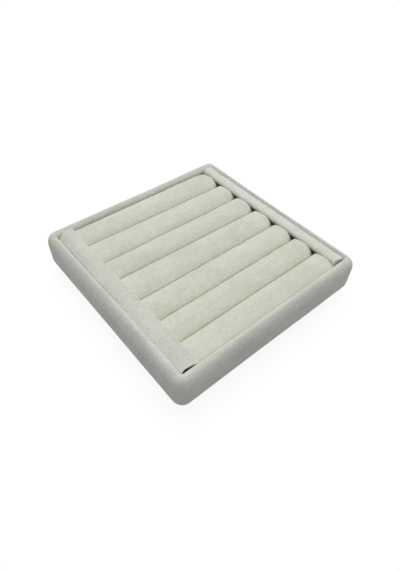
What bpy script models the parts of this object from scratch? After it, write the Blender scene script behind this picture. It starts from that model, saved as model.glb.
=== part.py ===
"""Ring display tray: a padded, fabric-covered square tray with a row of ring rolls between two end strips.

Run it with blender --background --python part.py, or from Blender's text editor. All sizes are in metres.
+Z is up, +X is to the right along the rolls, +Y is to the back, and the origin is the middle of the underside.
"""

import math

import bmesh
import bpy
from mathutils import Vector

# Whole tray, measured over the fabric
TRAY_WIDTH = 0.1700
TRAY_DEPTH = 0.1700
TRAY_HEIGHT = 0.0340
WALL_THICKNESS = 0.0075
PLAN_CORNER_RADIUS = 0.0081

# Rounding of the padded wall, seen in section
RIM_INNER_ROUND = 0.0009
SHOULDER_DROP = 0.0085
FOOT_ROUND_WIDTH = 0.0102
FOOT_ROUND_RISE = 0.0101

# Fabric and the small clearance between pieces that touch
FABRIC_THICKNESS = 0.0007
SEAT_GAP = 0.0003
CORE_GAP = 0.0004
TRAY_HEM_WIDTH = 0.0120
HEM_CORNER_RADIUS = 0.0015

# Boards and padding inside the cover
BOTTOM_SHEET_THICKNESS = 0.0006
BOTTOM_SHEET_MARGIN = 0.0010
BASE_BOARD_THICKNESS = 0.0030
WALL_BOARD_THICKNESS = 0.0020
RIM_PADDING_THICKNESS = 0.0027
PADDING_TOE_THICKNESS = 0.0008
INSERT_BOARD_THICKNESS = 0.0020
INSERT_CORNER_RADIUS = 0.0010

# Ring rolls and end strips, measured over the fabric
ROLL_COUNT = 7
CROWN_BELOW_RIM = 0.0015
CROWN_DROP = 0.0048
ROLL_END_ROUND = 0.0020
ROLL_HEM_WIDTH = 0.0040
STRIP_BELOW_RIM = 0.0022
STRIP_WIDTH_LEFT = 0.0132
STRIP_WIDTH_RIGHT = 0.0091
STRIP_FRONT_GAP = 0.0019
STRIP_INNER_ROUND_LEFT = 0.0010
STRIP_INNER_ROUND_RIGHT = 0.0035
STRIP_OUTER_ROUND = 0.0012
LEAST_ROUND = 0.0010
STRIP_END_ROUND = 0.0014
STRIP_HEM_WIDTH = 0.0030

# Points nearer to each other than this are one point
SAME_PLACE = 0.000001

# Edges sharper than this are shaded as edges, on soft pieces and on flat ones
SOFT_EDGE_ANGLE = math.radians(50)
FLAT_EDGE_ANGLE = math.radians(35)

# Numbers of steps in the rounded stretches
CORNER_STEPS = 6
FOOT_STEPS = 6
SHOULDER_STEPS = 6
RIM_STEPS = 3
PADDING_STEPS = 4
BASE_EDGE_STEPS = 4
CROWN_STEPS = 8
CORE_CROWN_STEPS = 5
STRIP_EDGE_STEPS = 4
END_STEPS = 3
CORE_END_STEPS = 2

# Finishes: base colour, roughness and metallic value
VELVET_LOOK = ((0.68, 0.69, 0.62), 0.95, 0.0)
FOAM_LOOK = ((0.80, 0.79, 0.72), 0.90, 0.0)
BOARD_LOOK = ((0.45, 0.33, 0.21), 0.75, 0.0)
CARD_LOOK = ((0.42, 0.41, 0.38), 0.80, 0.0)
SHEET_LOOK = ((0.55, 0.56, 0.51), 0.92, 0.0)

# Places that follow from the sizes above
LINING = FABRIC_THICKNESS + SEAT_GAP
CORE_LINING = FABRIC_THICKNESS + CORE_GAP
COVER_BOTTOM = BOTTOM_SHEET_THICKNESS + SEAT_GAP
BASE_BOTTOM = COVER_BOTTOM + LINING
BASE_TOP = BASE_BOTTOM + BASE_BOARD_THICKNESS
WALL_BOTTOM = BASE_TOP + SEAT_GAP
FOOT_CENTRE_HEIGHT = COVER_BOTTOM + FOOT_ROUND_RISE
SHOULDER_CENTRE_HEIGHT = TRAY_HEIGHT - SHOULDER_DROP
SHOULDER_WIDTH = WALL_THICKNESS - RIM_INNER_ROUND
WALL_BOARD_INNER_INSET = WALL_THICKNESS - LINING
WALL_BOARD_OUTER_INSET = WALL_BOARD_INNER_INSET - WALL_BOARD_THICKNESS
WALL_BOARD_TOP = TRAY_HEIGHT - LINING - RIM_PADDING_THICKNESS - SEAT_GAP
CLEAR_HALF_WIDTH = TRAY_WIDTH / 2 - WALL_THICKNESS - SEAT_GAP
CLEAR_HALF_DEPTH = TRAY_DEPTH / 2 - WALL_THICKNESS - SEAT_GAP
INSERT_BOTTOM = BASE_TOP + SEAT_GAP
BAR_BOTTOM = INSERT_BOTTOM + INSERT_BOARD_THICKNESS + SEAT_GAP
ROLL_HEIGHT = TRAY_HEIGHT - CROWN_BELOW_RIM - BAR_BOTTOM
STRIP_HEIGHT = TRAY_HEIGHT - STRIP_BELOW_RIM - BAR_BOTTOM
ROLL_PITCH = (2 * CLEAR_HALF_DEPTH + SEAT_GAP) / ROLL_COUNT
ROLL_WIDTH = ROLL_PITCH - SEAT_GAP
ROLL_LEFT_END = -CLEAR_HALF_WIDTH + STRIP_WIDTH_LEFT + SEAT_GAP
ROLL_RIGHT_END = CLEAR_HALF_WIDTH - STRIP_WIDTH_RIGHT - SEAT_GAP
ROLL_LENGTH = ROLL_RIGHT_END - ROLL_LEFT_END
STRIP_LENGTH = 2 * CLEAR_HALF_DEPTH + SEAT_GAP - STRIP_FRONT_GAP


def clear_scene():
    """Remove what is in the scene."""
    for old in list(bpy.data.objects):
        bpy.data.objects.remove(old, do_unlink=True)


def make_material(name, look):
    """Return a plain material from a base colour, a roughness and a metallic value."""
    colour, roughness, metallic = look
    material = bpy.data.materials.new(name)
    material.use_nodes = True
    shader = material.node_tree.nodes["Principled BSDF"]
    shader.inputs["Base Color"].default_value = (*colour, 1.0)
    shader.inputs["Roughness"].default_value = roughness
    shader.inputs["Metallic"].default_value = metallic
    return material


def new_collection(name):
    """Return a new collection in the scene."""
    collection = bpy.data.collections.new(name)
    bpy.context.scene.collection.children.link(collection)
    return collection


def add_empty(collection, name, location):
    """Return an empty that carries a group of pieces."""
    empty = bpy.data.objects.new(name, None)
    empty.location = location
    collection.objects.link(empty)
    return empty


def add_piece(carrier, mesh, name, look, location=(0.0, 0.0, 0.0)):
    """Place a mesh as a named piece on its carrier, with its own material."""
    piece = bpy.data.objects.new(name, mesh.copy())
    piece.data.name = name
    piece.data.materials.append(make_material(name, look))
    piece.location = location
    piece.parent = carrier
    carrier.users_collection[0].objects.link(piece)
    return piece


def add_cover_thickness(piece):
    """Give an outer surface the thickness of the fabric, inwards."""
    solidify = piece.modifiers.new("Fabric", "SOLIDIFY")
    solidify.thickness = FABRIC_THICKNESS
    solidify.offset = -1.0
    solidify.use_rim = True
    solidify.solidify_mode = "NON_MANIFOLD"
    solidify.nonmanifold_thickness_mode = "CONSTRAINTS"
    solidify.nonmanifold_merge_threshold = 0.0


def finish_mesh(bm, name, smooth_angle):
    """Turn a bmesh into a mesh with outward faces, smooth but for its sharp edges."""
    bmesh.ops.recalc_face_normals(bm, faces=bm.faces)
    mesh = bpy.data.meshes.new(name)
    bm.to_mesh(mesh)
    bm.free()
    mesh.shade_smooth()
    mesh.set_sharp_from_angle(angle=smooth_angle)
    return mesh


def quarter_turn(steps):
    """Return the angles of a quarter turn in equal steps, both ends included."""
    return [math.pi / 2 * step / steps for step in range(steps + 1)]


def rounded_rectangle(half_width, half_depth, radius):
    """Return a rounded rectangle's points in plan, anticlockwise from the right side's back end."""
    points = []
    for quarter, (side_x, side_y) in enumerate(((1, 1), (-1, 1), (-1, -1), (1, -1))):
        centre_x = side_x * (half_width - radius)
        centre_y = side_y * (half_depth - radius)
        for angle in quarter_turn(CORNER_STEPS):
            turned = angle + quarter * math.pi / 2
            points.append((centre_x + radius * math.cos(turned), centre_y + radius * math.sin(turned)))
    return points


def tray_ring(inset, height, least_radius=0.0):
    """Return the tray's outline at a height, moved in from its side, with each corner about one centre."""
    radius = max(PLAN_CORNER_RADIUS - inset, least_radius)
    outline = rounded_rectangle(TRAY_WIDTH / 2 - inset, TRAY_DEPTH / 2 - inset, radius)
    return [Vector((x, y, height)) for x, y in outline]


def loft(bm, rings, closed_rings, join_last):
    """Join rings of equal point counts with quads and return the rings' vertices."""
    loops = [[bm.verts.new(point) for point in ring] for ring in rings]
    pairs = list(zip(loops, loops[1:]))
    if join_last:
        pairs.append((loops[-1], loops[0]))
    for lower, upper in pairs:
        count = len(lower)
        for index in range(count if closed_rings else count - 1):
            after = (index + 1) % count
            bm.faces.new((lower[index], lower[after], upper[after], upper[index]))
    return loops


def foot_inset(height, depth):
    """Return how far in the foot's curve is at a height, a depth inside the fabric's outer face."""
    rise = FOOT_ROUND_RISE - depth
    share = min(max((FOOT_CENTRE_HEIGHT - height) / rise, 0.0), 1.0)
    return FOOT_ROUND_WIDTH - (FOOT_ROUND_WIDTH - depth) * math.sqrt(1 - share**2)


def shoulder_points(depth, steps):
    """Return the shoulder's inset and height from the wall's side to the rim, a depth inside the outer face."""
    width = SHOULDER_WIDTH - depth
    drop = SHOULDER_DROP - depth
    return [
        (SHOULDER_WIDTH - width * math.cos(angle), SHOULDER_CENTRE_HEIGHT + drop * math.sin(angle))
        for angle in quarter_turn(steps)
    ]


def cover_profile():
    """Return the fabric's way over the wall in section, from the hem under the tray to the foot inside it."""
    points = [(FOOT_ROUND_WIDTH + TRAY_HEM_WIDTH, COVER_BOTTOM)]
    for angle in quarter_turn(FOOT_STEPS):
        inset = FOOT_ROUND_WIDTH * (1 - math.sin(angle))
        points.append((inset, FOOT_CENTRE_HEIGHT - FOOT_ROUND_RISE * math.cos(angle)))
    points += shoulder_points(0.0, SHOULDER_STEPS)
    rim_centre = TRAY_HEIGHT - RIM_INNER_ROUND
    for angle in quarter_turn(RIM_STEPS)[1:]:
        inset = SHOULDER_WIDTH + RIM_INNER_ROUND * math.sin(angle)
        points.append((inset, rim_centre + RIM_INNER_ROUND * math.cos(angle)))
    points.append((WALL_THICKNESS, WALL_BOTTOM))
    return points


def cover_mesh():
    """Return the outer surface of the tray's fabric, whose corners tighten towards the rim and the hem."""
    rings = []
    for inset, height in cover_profile():
        under_foot = height < FOOT_CENTRE_HEIGHT and inset != WALL_THICKNESS
        rings.append(tray_ring(inset, height, HEM_CORNER_RADIUS if under_foot else 0.0))
    bm = bmesh.new()
    loft(bm, rings, closed_rings=True, join_last=False)
    return finish_mesh(bm, "tray_cover", SOFT_EDGE_ANGLE)


def keep_side(bm, middle, direction):
    """Cut a closed frame through a point, keep what lies along the direction and close the cut."""
    everything = bm.verts[:] + bm.edges[:] + bm.faces[:]
    bmesh.ops.bisect_plane(bm, geom=everything, plane_co=middle, plane_no=direction, clear_inner=True)
    open_edges = [edge for edge in bm.edges if edge.is_boundary]
    bmesh.ops.holes_fill(bm, edges=open_edges, sides=0)


def mitred_side(section, side, name):
    """Return one side of a frame with the given section, cut at 45 degrees at both of its corners.

    The section is a list of inset and height pairs. The side is the outward direction, such as (0, -1).
    """
    bm = bmesh.new()
    rings = [tray_ring(inset, height) for inset, height in section]
    loft(bm, rings, closed_rings=True, join_last=True)
    bmesh.ops.recalc_face_normals(bm, faces=bm.faces)
    outward = Vector((*side, 0))
    along = Vector((-side[1], side[0], 0))
    corner_x = TRAY_WIDTH / 2 - PLAN_CORNER_RADIUS
    corner_y = TRAY_DEPTH / 2 - PLAN_CORNER_RADIUS
    keep_side(bm, Vector((0, 0, 0)), outward)
    for end in (1, -1):
        towards_corner = outward + end * along
        corner = Vector((towards_corner.x * corner_x, towards_corner.y * corner_y, 0))
        direction = (outward - end * along).normalized()
        keep_side(bm, corner + direction * SEAT_GAP / 2, direction)
    return finish_mesh(bm, name, FLAT_EDGE_ANGLE)


def wall_board_section():
    """Return a wall board's section, a plain rectangle."""
    return [
        (WALL_BOARD_OUTER_INSET, WALL_BOTTOM),
        (WALL_BOARD_OUTER_INSET, WALL_BOARD_TOP),
        (WALL_BOARD_INNER_INSET, WALL_BOARD_TOP),
        (WALL_BOARD_INNER_INSET, WALL_BOTTOM),
    ]


def padding_section():
    """Return the foam's section: up the board's outer face inside the fabric and over the board's top."""
    back_inset = WALL_BOARD_OUTER_INSET - SEAT_GAP
    toe_share = (FOOT_ROUND_WIDTH - back_inset + PADDING_TOE_THICKNESS) / (FOOT_ROUND_WIDTH - LINING)
    toe_angle = math.acos(min(toe_share, 1.0))
    toe_height = FOOT_CENTRE_HEIGHT - (FOOT_ROUND_RISE - LINING) * math.sin(toe_angle)
    start = max(toe_height, WALL_BOTTOM)
    points = []
    for step in range(PADDING_STEPS):
        height = start + (FOOT_CENTRE_HEIGHT - start) * step / PADDING_STEPS
        points.append((foot_inset(height, LINING), height))
    for inset, height in shoulder_points(LINING, SHOULDER_STEPS):
        points.append((min(inset, WALL_BOARD_INNER_INSET), height))
    points += [
        (WALL_BOARD_INNER_INSET, WALL_BOARD_TOP + SEAT_GAP),
        (back_inset, WALL_BOARD_TOP + SEAT_GAP),
        (back_inset, start),
    ]
    return points


def base_board_mesh():
    """Return the base board, its lower edge rounded so that the fabric turns under it."""
    rings = []
    rise = FOOT_ROUND_RISE - LINING
    top_share = min((FOOT_CENTRE_HEIGHT - BASE_TOP) / rise, 1.0)
    for step in range(BASE_EDGE_STEPS + 1):
        share = 1.0 + (top_share - 1.0) * (step / BASE_EDGE_STEPS) ** 2
        height = FOOT_CENTRE_HEIGHT - rise * share
        inset = max(foot_inset(height, LINING), WALL_BOARD_OUTER_INSET)
        rings.append(tray_ring(inset, height, HEM_CORNER_RADIUS))
    bm = bmesh.new()
    loops = loft(bm, rings, closed_rings=True, join_last=False)
    bm.faces.new(loops[0])
    bm.faces.new(loops[-1])
    return finish_mesh(bm, "base_board", FLAT_EDGE_ANGLE)


def flat_panel_mesh(name, half_width, half_depth, radius, thickness):
    """Return a flat panel with rounded corners, lying on the plane of its origin."""
    bm = bmesh.new()
    outline = rounded_rectangle(half_width, half_depth, radius)
    face = bm.faces.new([bm.verts.new((x, y, 0)) for x, y in outline])
    raised = bmesh.ops.extrude_face_region(bm, geom=[face])["geom"]
    corners = [item for item in raised if isinstance(item, bmesh.types.BMVert)]
    bmesh.ops.translate(bm, verts=corners, vec=(0, 0, thickness))
    return finish_mesh(bm, name, FLAT_EDGE_ANGLE)


def edge_points(edge, half, inset, steps):
    """Return the way round an edge, from the side to the top, as places in from the side and down from the top.

    The edge is how far its round reaches in from the side and down from the top. The inset moves the side and
    the top in and makes the round smaller.
    """
    reach = min(max(edge[0] - inset, LEAST_ROUND), half)
    drop = max(edge[1] - inset, LEAST_ROUND)
    return [(reach * (1 - math.cos(angle)), drop * (1 - math.sin(angle))) for angle in quarter_turn(steps)]


def bar_outline(width, height, edges, steps, inset=0.0, floor=0.0):
    """Return a bar's outline across its length: up its left side, over the rounded top and down the right.

    The inset moves the sides and the top in, and the floor is the height at which the sides start.
    """
    half = width / 2 - inset
    top = height - inset
    left, right = (edge_points(edge, half, inset, steps) for edge in edges)
    points = [(-half, floor)]
    points += [(-half + across, top - down) for across, down in left]
    points += [(half - across, top - down) for across, down in reversed(right)]
    points.append((half, floor))
    return points[:1] + [here for last, here in zip(points, points[1:]) if math.dist(last, here) > SAME_PLACE]


def end_stations(length, end_round, steps):
    """Return places along a bar and the inset at each, so that both of its ends are rounded over."""
    near_end = [
        (-length / 2 + end_round * (1 - math.cos(angle)), end_round * (1 - math.sin(angle)))
        for angle in quarter_turn(steps)
    ]
    return near_end + [(-place, inset) for place, inset in reversed(near_end)]


def bar_cover_mesh(name, size, edges, end_round, hem, steps):
    """Return the outer surface of the fabric round a bar that lies along X and is open underneath.

    The size is the bar's length, width and height. The fabric turns in under both long sides by the hem,
    and its ends are closed.
    """
    length, width, height = size
    rings = []
    for place, inset in end_stations(length, end_round, END_STEPS):
        outline = bar_outline(width, height, edges, steps, inset)
        outline = [(-width / 2 + hem, 0.0)] + outline + [(width / 2 - hem, 0.0)]
        rings.append([Vector((place, across, up)) for across, up in outline])
    bm = bmesh.new()
    loops = loft(bm, rings, closed_rings=False, join_last=False)
    bm.faces.new(loops[0])
    bm.faces.new(loops[-1])
    return finish_mesh(bm, name, SOFT_EDGE_ANGLE)


def bar_core_mesh(name, size, edges, end_round, steps):
    """Return the foam bar that fills a bar's fabric, with a small gap all round."""
    length, width, height = size
    rings = []
    core_round = max(end_round - CORE_LINING, SEAT_GAP)
    for place, inset in end_stations(length - 2 * CORE_LINING, core_round, CORE_END_STEPS):
        outline = bar_outline(width, height, edges, steps, inset + CORE_LINING, LINING)
        rings.append([Vector((place, across, up)) for across, up in outline])
    bm = bmesh.new()
    loops = loft(bm, rings, closed_rings=True, join_last=False)
    bm.faces.new(loops[0])
    bm.faces.new(loops[-1])
    return finish_mesh(bm, name, FLAT_EDGE_ANGLE)


def build_frame(carrier):
    """Build the boards, the padding, the cover and the bottom sheet."""
    add_piece(carrier, base_board_mesh(), "base_board", BOARD_LOOK)
    sides = {"front": (0, -1), "back": (0, 1), "left": (-1, 0), "right": (1, 0)}
    for place, side in sides.items():
        board = mitred_side(wall_board_section(), side, f"wall_board_{place}")
        add_piece(carrier, board, f"wall_board_{place}", BOARD_LOOK)
        padding = mitred_side(padding_section(), side, f"wall_padding_{place}")
        add_piece(carrier, padding, f"wall_padding_{place}", FOAM_LOOK)
    cover = add_piece(carrier, cover_mesh(), "tray_cover", VELVET_LOOK)
    add_cover_thickness(cover)
    sheet_inset = FOOT_ROUND_WIDTH + BOTTOM_SHEET_MARGIN
    sheet = flat_panel_mesh(
        "bottom_sheet",
        TRAY_WIDTH / 2 - sheet_inset,
        TRAY_DEPTH / 2 - sheet_inset,
        HEM_CORNER_RADIUS,
        BOTTOM_SHEET_THICKNESS,
    )
    add_piece(carrier, sheet, "bottom_sheet", SHEET_LOOK)


def build_rolls(carrier):
    """Build the ring rolls side by side, counted from the front."""
    oval = (ROLL_WIDTH / 2, CROWN_DROP)
    size = (ROLL_LENGTH, ROLL_WIDTH, ROLL_HEIGHT)
    cover = bar_cover_mesh("roll_cover", size, (oval, oval), ROLL_END_ROUND, ROLL_HEM_WIDTH, CROWN_STEPS)
    core = bar_core_mesh("roll_core", size, (oval, oval), ROLL_END_ROUND, CORE_CROWN_STEPS)
    middle = (ROLL_LEFT_END + ROLL_RIGHT_END) / 2
    for number in range(1, ROLL_COUNT + 1):
        across = ROLL_PITCH * (number - (ROLL_COUNT + 1) / 2)
        location = (middle, across, BAR_BOTTOM - INSERT_BOTTOM)
        add_cover_thickness(add_piece(carrier, cover, f"roll_cover_{number}", VELVET_LOOK, location))
        add_piece(carrier, core, f"roll_core_{number}", FOAM_LOOK, location)


def build_end_strip(carrier, place, width, inner_round, outward):
    """Build one end strip, which closes the rolls' ends and runs along Y. Outward is 1 on the right."""
    name = f"end_strip_cover_{place}"
    inner = (inner_round, inner_round)
    outer = (STRIP_OUTER_ROUND, STRIP_OUTER_ROUND)
    edges = (outer, inner) if outward > 0 else (inner, outer)
    size = (STRIP_LENGTH, width, STRIP_HEIGHT)
    cover = bar_cover_mesh(name, size, edges, STRIP_END_ROUND, STRIP_HEM_WIDTH, STRIP_EDGE_STEPS)
    core = bar_core_mesh(f"end_strip_core_{place}", size, edges, STRIP_END_ROUND, STRIP_EDGE_STEPS)
    middle = outward * (CLEAR_HALF_WIDTH - width / 2)
    back_shift = CLEAR_HALF_DEPTH - STRIP_LENGTH / 2
    location = (middle, back_shift, BAR_BOTTOM - INSERT_BOTTOM)
    for mesh, piece_name, look in ((cover, name, VELVET_LOOK), (core, f"end_strip_core_{place}", FOAM_LOOK)):
        piece = add_piece(carrier, mesh, piece_name, look, location)
        piece.rotation_euler = (0, 0, math.pi / 2)
        if mesh is cover:
            add_cover_thickness(piece)


def build_insert(carrier):
    """Build the insert: its board, the rolls and the two end strips."""
    board = flat_panel_mesh(
        "insert_board", CLEAR_HALF_WIDTH, CLEAR_HALF_DEPTH, INSERT_CORNER_RADIUS, INSERT_BOARD_THICKNESS
    )
    add_piece(carrier, board, "insert_board", CARD_LOOK)
    build_rolls(carrier)
    build_end_strip(carrier, "left", STRIP_WIDTH_LEFT, STRIP_INNER_ROUND_LEFT, -1)
    build_end_strip(carrier, "right", STRIP_WIDTH_RIGHT, STRIP_INNER_ROUND_RIGHT, 1)


def main():
    """Build the whole tray."""
    clear_scene()
    collection = new_collection("ring_display_tray")
    build_frame(add_empty(collection, "tray_frame", (0, 0, 0)))
    build_insert(add_empty(collection, "ring_insert", (0, 0, INSERT_BOTTOM)))


main()
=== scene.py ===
"""Ring display tray: the looks of a padded, velvet-covered tray with seven ring rolls between two end strips.

All sizes are in metres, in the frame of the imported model: +X along the ring rolls, +Y to the back and +Z up.
"""

import logging
import math
from collections.abc import Callable, Iterator
from contextlib import contextmanager
from dataclasses import dataclass
from enum import Enum

import bmesh
import bpy
import numpy as np
from mathutils import Matrix, Vector, noise


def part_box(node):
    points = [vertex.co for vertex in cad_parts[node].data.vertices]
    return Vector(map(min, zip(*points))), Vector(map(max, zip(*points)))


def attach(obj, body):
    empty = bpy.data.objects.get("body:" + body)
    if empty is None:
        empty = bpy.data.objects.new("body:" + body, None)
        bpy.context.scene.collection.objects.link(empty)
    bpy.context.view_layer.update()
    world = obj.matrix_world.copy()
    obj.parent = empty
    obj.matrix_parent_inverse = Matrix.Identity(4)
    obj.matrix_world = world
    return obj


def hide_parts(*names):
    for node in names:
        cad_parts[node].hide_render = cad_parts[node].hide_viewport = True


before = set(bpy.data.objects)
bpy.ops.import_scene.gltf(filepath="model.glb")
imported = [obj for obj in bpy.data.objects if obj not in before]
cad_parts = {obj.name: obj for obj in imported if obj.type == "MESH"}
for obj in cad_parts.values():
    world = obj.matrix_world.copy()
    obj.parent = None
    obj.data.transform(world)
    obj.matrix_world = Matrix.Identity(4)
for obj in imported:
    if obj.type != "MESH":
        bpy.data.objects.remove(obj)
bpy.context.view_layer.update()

MM = 0.001
SAME = 0.01 * MM
TINY = 1e-12
Pair = tuple[float, float]
Triple = tuple[float, float, float]
COOL_LIGHT: Triple = (0.780, 0.796, 0.728)
COOL_SHADE: Triple = (0.587, 0.602, 0.523)
SEED_STEPS: Triple = (3.17, 5.71, 7.13)
WALLS = ("front", "back", "left", "right")

log = logging.getLogger("ring_tray")


class Axis(Enum):
    """The axis along which a bar lies or velvet is brushed, with its number in the frame."""

    ALONG_ROLLS = 0
    ACROSS_ROLLS = 1


class Side(Enum):
    """The side of the tray on which an end strip lies, as the solids' names say it."""

    LEFT = "left"
    RIGHT = "right"


class Part(Enum):
    """What is selected in edit mode, as the select mode calls it."""

    POINT = "VERT"
    EDGE = "EDGE"


class Term:
    """A socket's value in a Python expression: each operator adds the Math node that works it out."""

    def __init__(self, bench: "NodeBench", socket: bpy.types.NodeSocket) -> None:
        """Wrap an output socket of one of the bench's nodes."""
        self.bench = bench
        self.socket = socket

    def _math(self, operation: str, first: "Term | float", second: "Term | float") -> "Term":
        """Return the result of a new Math node."""
        made = self.bench.node("ShaderNodeMath", {"operation": operation}, {0: first, 1: second})
        return Term(self.bench, made.outputs[0])

    def __add__(self, other: "Term | float") -> "Term":
        """Return the sum."""
        return self._math("ADD", self, other)

    def __sub__(self, other: "Term | float") -> "Term":
        """Return the difference."""
        return self._math("SUBTRACT", self, other)

    def __rsub__(self, other: float) -> "Term":
        """Return a number less this value."""
        return self._math("SUBTRACT", other, self)

    def __mul__(self, other: "Term | float") -> "Term":
        """Return the product."""
        return self._math("MULTIPLY", self, other)

    def __truediv__(self, other: "Term | float") -> "Term":
        """Return the quotient."""
        return self._math("DIVIDE", self, other)

    __radd__ = __add__

    def most(self, other: "Term | float") -> "Term":
        """Return the larger of the two values."""
        return self._math("MAXIMUM", self, other)

    def magnitude(self) -> "Term":
        """Return the value without its sign."""
        return self.most(self * -1.0)

    def clipped(self) -> "Term":
        """Return the value held between 0 and 1."""
        return self._math("MINIMUM", self.most(0.0), 1.0)

    def ramp(self, start: float, end: float) -> "Term":
        """Return 0 before the start, 1 past the end, and an even change between them."""
        return ((self - start) / (end - start)).clipped()


class NodeBench:
    """The place where the nodes of one material, or of the room, are made and joined."""

    def __init__(self, owner: bpy.types.Material | bpy.types.World) -> None:
        """Start the nodes of a new material or world with an output and nothing else."""
        owner.use_nodes = True
        self.owner = owner
        self.tree = owner.node_tree
        self.tree.nodes.clear()
        is_room = isinstance(owner, bpy.types.World)
        self.output = self.tree.nodes.new("ShaderNodeOutputWorld" if is_room else "ShaderNodeOutputMaterial")

    def node(self, kind: str, settings: dict[str, object], inputs: dict[int | str, object]) -> bpy.types.Node:
        """Make a node, with its settings first and then its sockets.

        Args:
            kind: The node's type.
            settings: The node's own properties by name.
            inputs: A value, a Term or an output socket for each input, by its identifier, name or number.

        Returns:
            The new node.
        """
        made = self.tree.nodes.new(kind)
        for name, value in settings.items():
            setattr(made, name, value)
        by_name = {socket.name: socket for socket in reversed(made.inputs)}
        by_name.update({socket.identifier: socket for socket in made.inputs})
        for key, value in inputs.items():
            socket = made.inputs[key] if isinstance(key, int) else by_name[key]
            source = value.socket if isinstance(value, Term) else value
            if isinstance(source, bpy.types.NodeSocket):
                self.tree.links.new(source, socket)
            else:
                socket.default_value = source
        return made

    def place(
        self, shift: Triple = (0.0, 0.0, 0.0), stretch: Triple = (1.0, 1.0, 1.0), turn: Triple = (0.0, 0.0, 0.0)
    ) -> bpy.types.NodeSocket:
        """Give the coordinates of the piece, stretched, turned and then moved.

        Args:
            shift: How far they are moved.
            stretch: How many times finer the pattern is along each axis.
            turn: Their turn about each axis, in radians.

        Returns:
            The coordinates' socket.
        """
        coordinates = self.node("ShaderNodeTexCoord", {}, {}).outputs["Object"]
        inputs = {"Vector": coordinates, "Location": shift, "Rotation": turn, "Scale": stretch}
        return self.node("ShaderNodeMapping", {"vector_type": "POINT"}, inputs).outputs["Vector"]

    def axes(self) -> list[Term]:
        """Return the place of a point in the object along X, Y and Z."""
        where = self.node("ShaderNodeTexCoord", {}, {}).outputs["Object"]
        return [Term(self, part) for part in self.node("ShaderNodeSeparateXYZ", {}, {0: where}).outputs]

    def flecks(self, where: bpy.types.NodeSocket, size: float, radius: float) -> Term:
        """Give scattered flecks, one in each cell.

        Args:
            where: The coordinates.
            size: The size of a cell.
            radius: A fleck's radius as a share of the cell.

        Returns:
            1 in the middle of a fleck and 0 away from it.
        """
        inputs = {"Vector": where, "Scale": 1.0 / size}
        made = self.node("ShaderNodeTexVoronoi", {"feature": "F1", "distance": "EUCLIDEAN"}, inputs)
        return (1.0 - Term(self, made.outputs["Distance"]) / radius).clipped()

    def mix(self, first: object, second: object, share: Term) -> bpy.types.NodeSocket:
        """Return a colour between the first, where the share is 0, and the second, where it is 1."""
        ends = [(*end, 1.0) if isinstance(end, tuple) else end for end in (first, second)]
        settings = {"data_type": "RGBA", "blend_type": "MIX", "clamp_factor": True}
        made = self.node("ShaderNodeMix", settings, {"Factor_Float": share, "A_Color": ends[0], "B_Color": ends[1]})
        return next(socket for socket in made.outputs if socket.identifier == "Result_Color")

    def bump(self, height: Term, distance: float, strength: float, under: object = None) -> bpy.types.NodeSocket:
        """Turn a height into a bumped normal.

        Args:
            height: The height, from 0 to 1.
            distance: The depth that a height of 1 stands for.
            strength: The share of the bump that is used.
            under: The normal's socket that this bump adds to, or nothing.

        Returns:
            The normal's socket.
        """
        inputs = {"Height": height, "Distance": distance, "Strength": strength}
        if under is not None:
            inputs["Normal"] = under
        return self.node("ShaderNodeBump", {}, inputs).outputs["Normal"]

    def close(self, shader: bpy.types.Node) -> bpy.types.Material | bpy.types.World:
        """Join the last shader to the output, and return what the nodes belong to."""
        self.tree.links.new(shader.outputs[0], self.output.inputs["Surface"])
        return self.owner

    def finish(self, inputs: dict[int | str, object]) -> bpy.types.Material:
        """End the material in a Principled shader with the given inputs, and return it."""
        return self.close(self.node("ShaderNodeBsdfPrincipled", {}, inputs))


@dataclass(frozen=True)
class Layer:
    """One layer of a pattern: the size of its grains, its finer layers, how much it is stirred and its weight."""

    size: float
    detail: float
    stir: float
    weight: float

    def noise(self, bench: NodeBench, where: bpy.types.NodeSocket) -> Term:
        """Return the layer's soft noise about 0.5 at the given coordinates."""
        inputs = {"Vector": where, "Scale": 1.0 / self.size, "Detail": self.detail, "Distortion": self.stir}
        made = bench.node("ShaderNodeTexNoise", {"noise_dimensions": "3D"}, inputs)
        return Term(bench, made.outputs["Fac"])

    def swing(self, value: Term) -> Term:
        """Return the layer's noise moved to about 0 and weighed."""
        return (value - 0.5) * self.weight


@dataclass(frozen=True)
class Dimness:
    """How velvet darkens low in the gaps between the pieces, where little light comes.

    It can start higher near the rolls' right ends, and it can be kept within a distance from the tray's middle.
    """

    below: float = 28.0 * MM
    fade: float = 4.5 * MM
    corner_rise: float = 0.0
    corner_ends: Pair = (57.0 * MM, 67.0 * MM)
    within: float | None = None
    within_fade: float = 1.0 * MM

    def share(self, bench: NodeBench) -> Term:
        """Return how dark a point is, from 0 on the open velvet to 1 low in a gap."""
        x, y, z = bench.axes()
        start = x.ramp(*self.corner_ends) * self.corner_rise + self.below
        low = ((start - z) / self.fade).clipped()
        if self.within is None:
            return low
        return low * x.magnitude().most(y.magnitude()).ramp(self.within, self.within - self.within_fade)


@dataclass(frozen=True)
class PaintedEndShade(Dimness):
    """The painted shade of the left strip: low in its gaps, and also on its cut front end, less so to the right."""

    front: Pair = (-74.6 * MM, -74.8 * MM)
    right: Pair = (-65.0 * MM, -72.5 * MM)
    top: Pair = (31.9 * MM, 31.6 * MM)

    def share(self, bench: NodeBench) -> Term:
        """Return how much painted shade a point gets, low in a gap or on the front end."""
        x, y, z = bench.axes()
        return super().share(bench).most(y.ramp(*self.front) * x.ramp(*self.right) * z.ramp(*self.top))


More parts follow.
